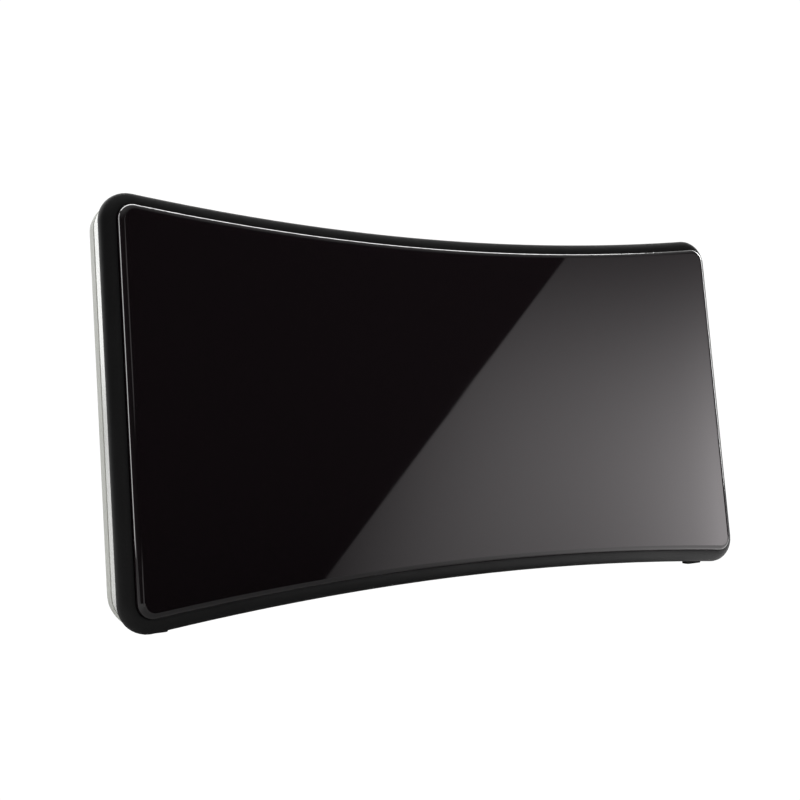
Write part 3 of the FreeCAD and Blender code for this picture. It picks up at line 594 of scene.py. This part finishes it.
@dataclass
class SocketThread(FineForm):
    """The fine thread of the aerial socket, which the solids leave as a plain barrel."""

    node: str = "coax_socket"
    slot: str = "socket_nickel"
    pitch: float = INCH / 32.0
    depth: float = 0.00034
    sides: int = 72
    steps: int = 10
    near: float = 1.0e-5

    def build(self) -> None:
        """Makes the socket again with a thread cut into its barrel."""
        mounts = self.housing.frame["record"]["mounts"]
        mount = next(row for row in mounts if row["name"] == self.node)
        axis, foot = Vector(mount["axis"]).normalized(), Vector(mount["pos_m"])
        radius, length = mount["dims"]["r_mm"] / MM_PER_M, mount["dims"]["length_mm"] / MM_PER_M
        form = self.solid()
        heights = {v: (v.co - foot).dot(axis) for v in form.verts}
        spokes = {v: (v.co - foot - heights[v] * axis).length for v in form.verts}
        wall = {v for v in form.verts if abs(spokes[v] - radius) < self.near}
        end = max(heights[v] for v in wall)
        barrel = {v for v in wall if heights[v] > end - length - self.near}
        plain = [face for face in form.faces if all(v in barrel for v in face.verts)]
        bmesh.ops.delete(form, geom=plain, context="FACES_ONLY")
        self.cut(form, foot + (end - length) * axis, axis, radius, length)
        self.stand_in(form, "coax_thread")

    def cut(
        self, form: bmesh.types.BMesh, foot: Vector, axis: Vector, radius: float, length: float
    ) -> None:
        """Adds the threaded wall.

        Args:
            form: the mesh to add to.
            foot: where the wall starts on the socket's axis.
            axis: direction of the wall from its foot.
            radius: radius of the thread's crest.
            length: length of the wall.
        """
        first = axis.orthogonal().normalized()
        second = axis.cross(first)
        rows = round(self.steps * length / self.pitch)
        rings = []
        for row in range(rows + 1):
            height = length * row / rows
            runout = min(1.0, row / self.steps, (rows - row) / self.steps)
            ring = []
            for side in range(self.sides):
                share = side / self.sides
                flank = 1.0 - abs(2.0 * ((height / self.pitch - share) % 1.0) - 1.0)
                reach = radius - self.depth * runout * flank
                turn = 2.0 * math.pi * share
                spoke = math.cos(turn) * first + math.sin(turn) * second
                ring.append(form.verts.new(foot + height * axis + reach * spoke))
            rings.append(ring)
        for low, high in zip(rings, rings[1:]):
            for side in range(self.sides):
                after = (side + 1) % self.sides
                form.faces.new((low[side], low[after], high[after], high[side])).smooth = True


@dataclass
class EasedShell(FineForm):
    """A part behind the frame with rounder corners than the frame's, where the solids keep them equal."""

    lean: float = math.radians(8.0)
    bow: float = 1.113
    arc: float = 1.25451
    arc_centre: float = 1.314475
    solid_round: float = 0.0095
    low_round: float = 0.0131
    high_round: float = 0.0115
    skin: float = 0.0028
    fade: float = 0.0065
    near: float = 1.0e-7
    layer: str = "kept"

    def build(self) -> bpy.types.Object:
        """Makes the part again with its corners eased.

        Returns:
            The piece that stands for the part.
        """
        source = self.housing.frame["nodes"][self.node].data
        up = Vector((0.0, math.sin(self.lean), math.cos(self.lean)))
        across = Vector((1.0, 0.0, 0.0))
        heights = [v.co.dot(up) for v in source.vertices]
        middle, half = (max(heights) + min(heights)) / 2.0, (max(heights) - min(heights)) / 2.0
        wide = max(abs(v.co.x) for v in source.vertices)
        form = self.solid()
        self.keep_normals(form, source)
        for side, round_off in ((-1.0, self.low_round), (1.0, self.high_round)):
            for reach in (round_off, (round_off + self.solid_round) / 2.0):
                self.split(form, (middle + side * (half - reach)) * up, up)
                self.split(form, (wide - reach) * across, across)
                self.split(form, (reach - wide) * across, across)
        turns = []
        for v in form.verts:
            move, turn = self.shift(v.co, up, middle, wide)
            v.co += move
            turns.append(turn)
        piece = self.stand_in(form, f"{self.node}_eased")
        self.turn_normals(piece.data, turns)
        return piece

    def keep_normals(self, form: bmesh.types.BMesh, source: bpy.types.Mesh) -> None:
        """Notes the solid's normals in a layer that the cuts keep.

        Args:
            form: the copy of the solid.
            source: the solid's mesh.
        """
        kept = form.loops.layers.float_vector.new(self.layer)
        for face, polygon in zip(form.faces, source.polygons):
            for loop, index in zip(face.loops, polygon.loop_indices):
                loop[kept] = source.corner_normals[index].vector

    def turn_normals(self, mesh: bpy.types.Mesh, turns: list[float]) -> None:
        """Gives the eased mesh the solid's normals, turned as far as its places were.

        Args:
            mesh: the eased mesh.
            turns: the turn at each vertex, about the panel's axis from front to back.
        """
        away = Vector((0.0, math.cos(self.lean), -math.sin(self.lean)))
        kept = mesh.attributes[self.layer]
        normals = [
            Matrix.Rotation(turns[loop.vertex_index], 3, away) @ Vector(item.vector)
            for loop, item in zip(mesh.loops, kept.data)
        ]
        mesh.attributes.remove(kept)
        mesh.polygons.foreach_set("use_smooth", [True] * len(mesh.polygons))
        mesh.normals_split_custom_set(normals)

    def split(self, form: bmesh.types.BMesh, place: Vector, across: Vector) -> None:
        """Cuts the faces along a plane through a place, so that the easing ends there."""
        everything = form.verts[:] + form.edges[:] + form.faces[:]
        bmesh.ops.bisect_plane(form, geom=everything, dist=self.near, plane_co=place, plane_no=across)

    def shift(self, place: Vector, up: Vector, middle: float, wide: float) -> tuple[Vector, float]:
        """Finds how far a place moves inwards and how far its normal turns.

        Args:
            place: the place in the solids.
            up: direction up the panel.
            middle: the panel's middle along it.
            wide: half the panel's width.

        Returns:
            The move and the turn, which are nothing away from the corners.
        """
        rise = place.dot(up) - middle
        new, old = self.high_round if rise > 0.0 else self.low_round, self.solid_round
        side = wide - abs(place.x)
        edge = math.hypot(place.x, self.arc_centre - abs(rise)) - self.arc
        reach = math.hypot(new - side, new - edge)
        if side >= new or edge >= new or reach < self.near:
            return Vector(), 0.0
        in_arc = max(side, edge) < old
        depth = old - math.hypot(old - side, old - edge) if in_arc else min(side, edge)
        share = min(1.0, max(0.0, (self.fade - depth) / (self.fade - self.skin)))
        scale = share * ((new - depth) / reach - 1.0)
        along = math.copysign(scale, place.x) * (side - new)
        away = (place.x ** 2 - (place.x + along) ** 2) / (2.0 * self.bow)
        move = Vector((along, away * up.z, -away * up.y)) + math.copysign(scale, rise) * (edge - new) * up
        solid = math.atan2(max(0.0, old - edge), max(0.0, old - side))
        turn = share * (math.atan2(new - edge, new - side) - solid)
        return move, -turn if place.x * rise > 0.0 else turn


@dataclass
class FootSole(FineForm):
    """A foot whose sole follows the curved lower edge, where the solids give it a level one."""

    cover: bpy.types.Object
    solid_cover: str = "rear_cover"
    inner: float = 0.1082
    outer: float = 0.1168
    stem: float = 0.0016
    thick: float = 0.0012
    level: float = 1.0e-5
    inset: float = 0.0002

    def build(self) -> None:
        """Makes the foot again with its sole along the edge."""
        low, high = (Vector(corner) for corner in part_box(self.node))
        middle = (low + high) / 2.0
        near, far = sorted((abs(low.x), abs(high.x)))
        across = (self.outer - self.inner) / (far - near)
        form = self.solid()
        sole = [v for v in form.verts if v.co.z < self.thick and (v.co - middle).xy.length > self.stem]
        ground = {v for v in sole if v.co.z < self.level}
        eased = self.tree(self.cover.data)
        solid = self.tree(self.housing.frame["nodes"][self.solid_cover].data)
        lift = {}
        for v in sole:
            place = math.copysign(self.inner + across * (abs(v.co.x) - near), v.co.x)
            above = self.edge(eased, place, high.y - self.inset)
            lift[v] = (place, above, above - self.edge(solid, v.co.x, high.y - self.inset))
        lowest = min(lift[v][1] for v in ground)
        for v, (place, above, change) in lift.items():
            v.co = (place, v.co.y, above - lowest if v in ground else v.co.z + change)
        self.stand_in(form, f"{self.node}_sole")

    @staticmethod
    def tree(cover: bpy.types.Mesh) -> BVHTree:
        """Gives a cover's faces for finding places on them."""
        faces = [polygon.vertices for polygon in cover.polygons]
        return BVHTree.FromPolygons([v.co for v in cover.vertices], faces)

    @staticmethod
    def edge(cover: BVHTree, across: float, away: float) -> float:
        """Finds how high a cover's lower edge is above the ground at a place along X and Y."""
        place, _, _, _ = cover.ray_cast(Vector((across, away, -1.0)), Vector((0.0, 0.0, 1.0)))
        return place.z


@dataclass
class Camera:
    """The photograph's camera, aimed from the middle of the front plate."""

    azimuth: float = -31.837
    elevation: float = 1.465
    distance: float = 0.36957
    aim: Triple = (-0.025586, -0.000012, 0.00118)
    lens: float = 49.208
    sensor: float = 36.0
    clip: Pair = (0.01, 100.0)

    def build(self, plate_centre: Vector) -> None:
        """Places the camera.

        Args:
            plate_centre: middle of the front plate's face.
        """
        turn, rise = math.radians(self.azimuth), math.radians(self.elevation)
        flat = math.cos(rise)
        back = Vector((math.sin(turn) * flat, -math.cos(turn) * flat, math.sin(rise)))
        data = bpy.data.cameras.new("camera")
        data.lens = self.lens
        data.sensor_width = self.sensor
        data.clip_start, data.clip_end = self.clip
        camera = bpy.data.objects.new("camera", data)
        camera.location = plate_centre + Vector(self.aim) + self.distance * back
        camera.rotation_mode = "QUATERNION"
        camera.rotation_quaternion = back.to_track_quat("Z", "Y")
        bpy.context.scene.collection.objects.link(camera)
        bpy.context.scene.camera = camera
        LOG.info("camera %.3f m from the plate", self.distance)


def stand_panel(
    name: str, corners: list[Union[Triple, Vector]], material: bpy.types.Material, where: Matrix
) -> bpy.types.Object:
    """Stands a flat four-sided piece of the studio in its place.

    Args:
        name: its name.
        corners: its corners in order.
        material: its material.
        where: its place.

    Returns:
        The piece.
    """
    mesh = bpy.data.meshes.new(name)
    mesh.from_pydata(corners, [], [(0, 1, 2, 3)])
    mesh.materials.append(material)
    piece = bpy.data.objects.new(name, mesh)
    piece.matrix_world = where
    bpy.context.scene.collection.objects.link(piece)
    LOG.info("%s stands in the studio", name)
    return piece


@dataclass(frozen=True)
class Lamp:
    """A narrow lamp that the plate's polished edge mirrors and that lights nothing else."""

    name: str
    place: Triple
    along: Triple
    length: float
    width: float
    power: float

    def build(self, plate_centre: Vector, mirrors: bpy.types.Collection) -> None:
        """Hangs the lamp so that it faces the plate.

        Args:
            plate_centre: middle of the front plate's face.
            mirrors: what the lamp shines on.
        """
        along = Vector(self.along).normalized() * (self.length / 2.0)
        across = along.cross(Vector(self.place)).normalized() * (self.width / 2.0)
        corners = [-along - across, along - across, along + across, across - along]
        material, bench = Bench.material(self.name)
        shine = bench.node(Kind.EMISSION, Color=WHITE, Strength=self.power)
        bench.node(Kind.OUTPUT, Surface=shine.outputs[0])
        where = Matrix.Translation(plate_centre + Vector(self.place))
        piece = stand_panel(self.name, corners, material, where)
        piece.visible_camera = False
        piece.visible_shadow = False
        piece.light_linking.receiver_collection = mirrors


LAMPS: tuple[Lamp, ...] = (
    Lamp("lamp_over", (0.0, 0.175, 0.415), (1.0, 0.0, 0.0), 0.8, 0.12, 11.0),
    Lamp("lamp_left", (-0.351, 0.091, 0.095), (0.0, 0.0, 1.0), 0.31, 0.085, 8.0),
    Lamp("lamp_right", (0.461, 0.205, 0.095), (0.0, 0.0, 1.0), 0.31, 0.2, 9.0),
)


@dataclass
class Studio:
    """A white backdrop behind a dark room, a pale floor with painted pools of light and a painted shadow under
    the panel, and the card that the gloss plate mirrors.

    The spans of the floor and the card are in decimetres from their own middles.
    """

    seen_white: float = 1.05
    backdrop: Pair = (0.06, 1.5)
    backdrop_span: Pair = (0.05, 0.45)
    backdrop_skew: float = 0.3
    overhead: Pair = (0.0, 0.6)
    overhead_span: Pair = (0.25, 0.95)
    floor_size: float = 12.0
    floor_drop: float = 0.0002
    floor_shade: float = 0.75
    # painted light on the floor, seen only by the object: glowing pools at the front, right and left, and a
    # painted shadow where the front and right glow stops under and behind the panel
    floor_front: float = 0.15
    floor_front_span: Pair = (-0.20, -0.34)
    floor_right: Pair = (0.0, 1.8)
    floor_right_span: Pair = (-0.6, 1.5)
    floor_right_end: Pair = (3.5, 2.0)
    floor_left: Pair = (0.0, 0.25)
    floor_left_span: Pair = (-1.25, -1.5)
    floor_left_end: Pair = (-4.0, -2.5)
    card_far: float = 0.7
    card_turn: float = 54.307
    card_left: float = 1.3
    card_right: float = 0.2
    card_tall: float = 0.45
    card_dark: float = 0.03
    card_tint: Colour = (1.0, 0.955, 0.972)
    edge: Triple = (-0.7228, 0.5319, -0.01605)
    edge_soft: float = 0.006
    window_right: Pair = (1.5, 1.15)
    window_top: Pair = (3.6, 2.9)
    glow: tuple[float, ...] = (0.44, 0.754, 0.063, -0.506, -0.184, 0.448, 1.24, -0.024, -0.94, 0.044)
    glow_cap: float = 1.75
    strip_glow: float = 0.9
    strip_left: Pair = (-9.0, -6.5)
    strip_right: Pair = (-3.6, -5.0)
    strip_over: Pair = (1.8, 2.5)
    strip_under: Pair = (0.7, 0.3)

    def build(self, plate: bpy.types.Object, plate_centre: Vector) -> None:
        """Makes the surroundings.

        Args:
            plate: the front plate.
            plate_centre: middle of its face.
        """
        self.world()
        self.floor()
        self.card(plate_centre)
        mirrors = bpy.data.collections.new("mirrors")
        mirrors.objects.link(plate)
        for lamp in LAMPS:
            lamp.build(plate_centre, mirrors)
        bpy.context.scene.view_settings.view_transform = "Standard"

    def world(self) -> None:
        """Lights everything from behind and a little from above, and shows the camera plain white."""
        world = bpy.data.worlds.new("studio")
        world.use_nodes = True
        bench = Bench(world.node_tree)
        path = bench.value(bench.node(Kind.LIGHT_PATH), "Is Camera Ray")
        towards = bench.node(Kind.SPLIT, Vector=bench.node(Kind.COORD).outputs["Generated"])
        sweep = bench.value(towards, "Y") + self.backdrop_skew * bench.value(towards, "X")
        behind = bench.ramp(sweep, self.backdrop_span, self.backdrop)
        above = bench.ramp(bench.value(towards, "Z"), self.overhead_span, self.overhead)
        around = bench.node(Kind.BACKGROUND, Color=behind.most(above), Strength=1.0)
        seen = bench.node(Kind.BACKGROUND, Color=WHITE, Strength=self.seen_white)
        both = bench.node(Kind.MIX_SHADER, in_0=path, in_1=around.outputs[0], in_2=seen.outputs[0])
        bench.node(Kind.WORLD_OUTPUT, Surface=both.outputs[0])
        bpy.context.scene.world = world

    def floor(self) -> None:
        """Lays a pale floor that the camera sees as white as its surroundings; to all other rays it glows with
        painted pools of light at its front, right and left, and the front and right glow stops under and
        behind the panel as a painted shadow.
        """
        material, bench = Bench.material("floor_pale")
        path = bench.value(bench.node(Kind.LIGHT_PATH), "Is Camera Ray")
        pale = bench.node(Kind.DIFFUSE, Color=(self.floor_shade,) * 3)
        split = bench.node(Kind.SPLIT, Vector=bench.place(DECIMETRES))
        across, away = bench.value(split, "X"), bench.value(split, "Y")
        # painted pools of light that the floor glows with at its right and left
        right = bench.ramp(across, self.floor_right_span, self.floor_right)
        right = right * bench.ramp(across, self.floor_right_end)
        left = bench.ramp(across, self.floor_left_span, self.floor_left)
        left = left * bench.ramp(across, self.floor_left_end)
        # painted shadow: the front and right glow stops under and behind the panel
        painted_floor_light = (right + self.floor_front) * bench.ramp(away, self.floor_front_span) + left
        glow = bench.node(Kind.EMISSION, Color=painted_floor_light, Strength=1.0)
        lit = bench.node(Kind.ADD_SHADER, in_0=pale.outputs[0], in_1=glow.outputs[0])
        white = bench.node(Kind.EMISSION, Color=WHITE, Strength=self.seen_white)
        both = bench.node(Kind.MIX_SHADER, in_0=path, in_1=lit.outputs[0], in_2=white.outputs[0])
        bench.node(Kind.OUTPUT, Surface=both.outputs[0])
        half = self.floor_size / 2.0
        corners = [(-half, -half, 0.0), (half, -half, 0.0), (half, half, 0.0), (-half, half, 0.0)]
        stand_panel("floor", corners, material, Matrix.Translation((0.0, 0.0, -self.floor_drop)))

    def card(self, plate_centre: Vector) -> None:
        """Stands a dark panel with a bright slanted window where the plate mirrors it.

        Args:
            plate_centre: middle of the front plate's face.
        """
        material, bench = Bench.material("card_light")
        split = bench.node(Kind.SPLIT, Vector=bench.place(DECIMETRES))
        across, up = bench.value(split, "X"), bench.value(split, "Z")
        colour = bench.blend(1.0, self.light(across, up), self.card_tint, Mixing.MULTIPLY)
        shine = bench.node(Kind.EMISSION, Color=colour, Strength=1.0)
        bench.node(Kind.OUTPUT, Surface=shine.outputs[0])
        left, right, low, tall = -self.card_left, self.card_right, -plate_centre.z, self.card_tall
        corners = [(left, 0.0, low), (right, 0.0, low), (right, 0.0, tall), (left, 0.0, tall)]
        turn = math.radians(self.card_turn)
        out = Vector((math.cos(turn), -math.sin(turn), 0.0))
        side = Vector((math.sin(turn), math.cos(turn), 0.0))
        facing = Matrix((side, -out, (0.0, 0.0, 1.0))).transposed().to_4x4()
        where = Matrix.Translation(plate_centre + self.card_far * out) @ facing
        stand_panel("card", corners, material, where).visible_camera = False

    def light(self, across: Value, up: Value) -> Value:
        """Gives the card's brightness: a window with a slow glow, and a strip at its left.

        Args:
            across: place along the card.
            up: height on it.

        Returns:
            The brightness.
        """
        bench = across.bench
        squares = (across * across, up * up, across * up)
        cubes = (across * squares[0], up * squares[1], up * squares[0], across * squares[1])
        terms = zip(self.glow[1:], (across, up, *squares, *cubes))
        glow = sum((part * term for part, term in terms), start=self.glow[0])
        foot, rise, bow = self.edge
        beyond = across - (foot + (rise + bow * up) * up)
        window = bench.ramp(beyond, (-self.edge_soft, self.edge_soft))
        window = window * bench.ramp(across, self.window_right) * bench.ramp(up, self.window_top)
        strip = bench.ramp(across, self.strip_left) * bench.ramp(across, self.strip_right)
        strip = strip * (bench.ramp(up, self.strip_over) + bench.ramp(up, self.strip_under))
        return window * glow.least(self.glow_cap).exp() + self.strip_glow * strip + self.card_dark


def plate_centre(frame: dict[str, Any]) -> Vector:
    """Finds the middle of the front plate's bowed face.


    Returns:
        The place in the row frame.
    """
    node = frame["nodes"]["front_plate"]
    low, high = (Vector(corner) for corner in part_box("front_plate"))
    middle = (low + high) / 2.0
    inward = node.matrix_world.inverted()
    start = inward @ Vector((middle.x, 2.0 * low.y, middle.z))
    _, place, _, _ = node.ray_cast(start, inward.to_3x3() @ Vector((0.0, 1.0, 0.0)))
    return node.matrix_world @ place


def main() -> None:
    """Builds the looks around the frame."""
    logging.basicConfig(level=logging.INFO, format="%(name)s: %(message)s")
    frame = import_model()
    housing = Housing(frame)
    housing.make_finishes()
    housing.dress()
    SocketThread(housing).build()
    EasedShell(housing, "trim_band", "trim_silver").build()
    cover = EasedShell(housing, "rear_cover", "cover_silver").build()
    for node in ("foot_left", "foot_right"):
        FootSole(housing, node, "foot_rubber", cover).build()
    centre = plate_centre(frame)
    LOG.info("plate centre %s", tuple(centre))
    Studio().build(frame["nodes"]["front_plate"], centre)
    Camera().build(centre)


if __name__ == "__main__":
    main()
